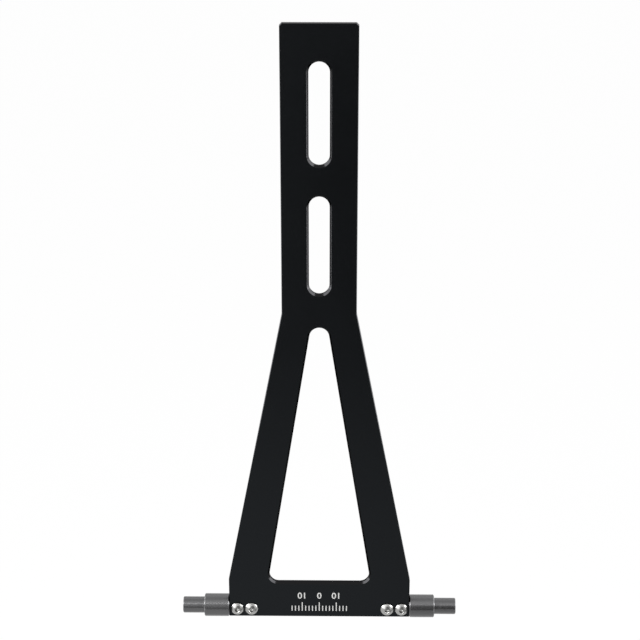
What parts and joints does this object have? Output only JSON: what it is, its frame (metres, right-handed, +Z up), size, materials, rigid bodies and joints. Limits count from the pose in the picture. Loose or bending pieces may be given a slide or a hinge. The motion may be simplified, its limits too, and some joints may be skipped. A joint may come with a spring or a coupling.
{
  "type": "bicycle wheel truing stand arm",
  "caption": "Flat slotted arm with spread legs and stepped stub axles at its foot, held in bicycle dropouts to check a wheel's rim while it is trued.",
  "frame": {"origin": "middle of the axle line, in the plane of the plate's rear face", "axes": "+Z up along the arm, +X to the right along the axle line, -Y towards the front face with the screw heads"},
  "size_m": [0.1604, 0.0132, 0.3513],
  "materials": {
    "black_anodised_aluminium": "satin black anodised",
    "turned_steel": "turned, dark grey",
    "screw_steel": "bright stainless"
  },
  "bodies": {
    "root": {"arm_plate": "black_anodised_aluminium", "left_stub_axle": "turned_steel", "right_stub_axle": "turned_steel", "left_outer_screw": "screw_steel", "left_inner_screw": "screw_steel", "right_inner_screw": "screw_steel", "right_outer_screw": "screw_steel"}
  },
  "joints": []
}
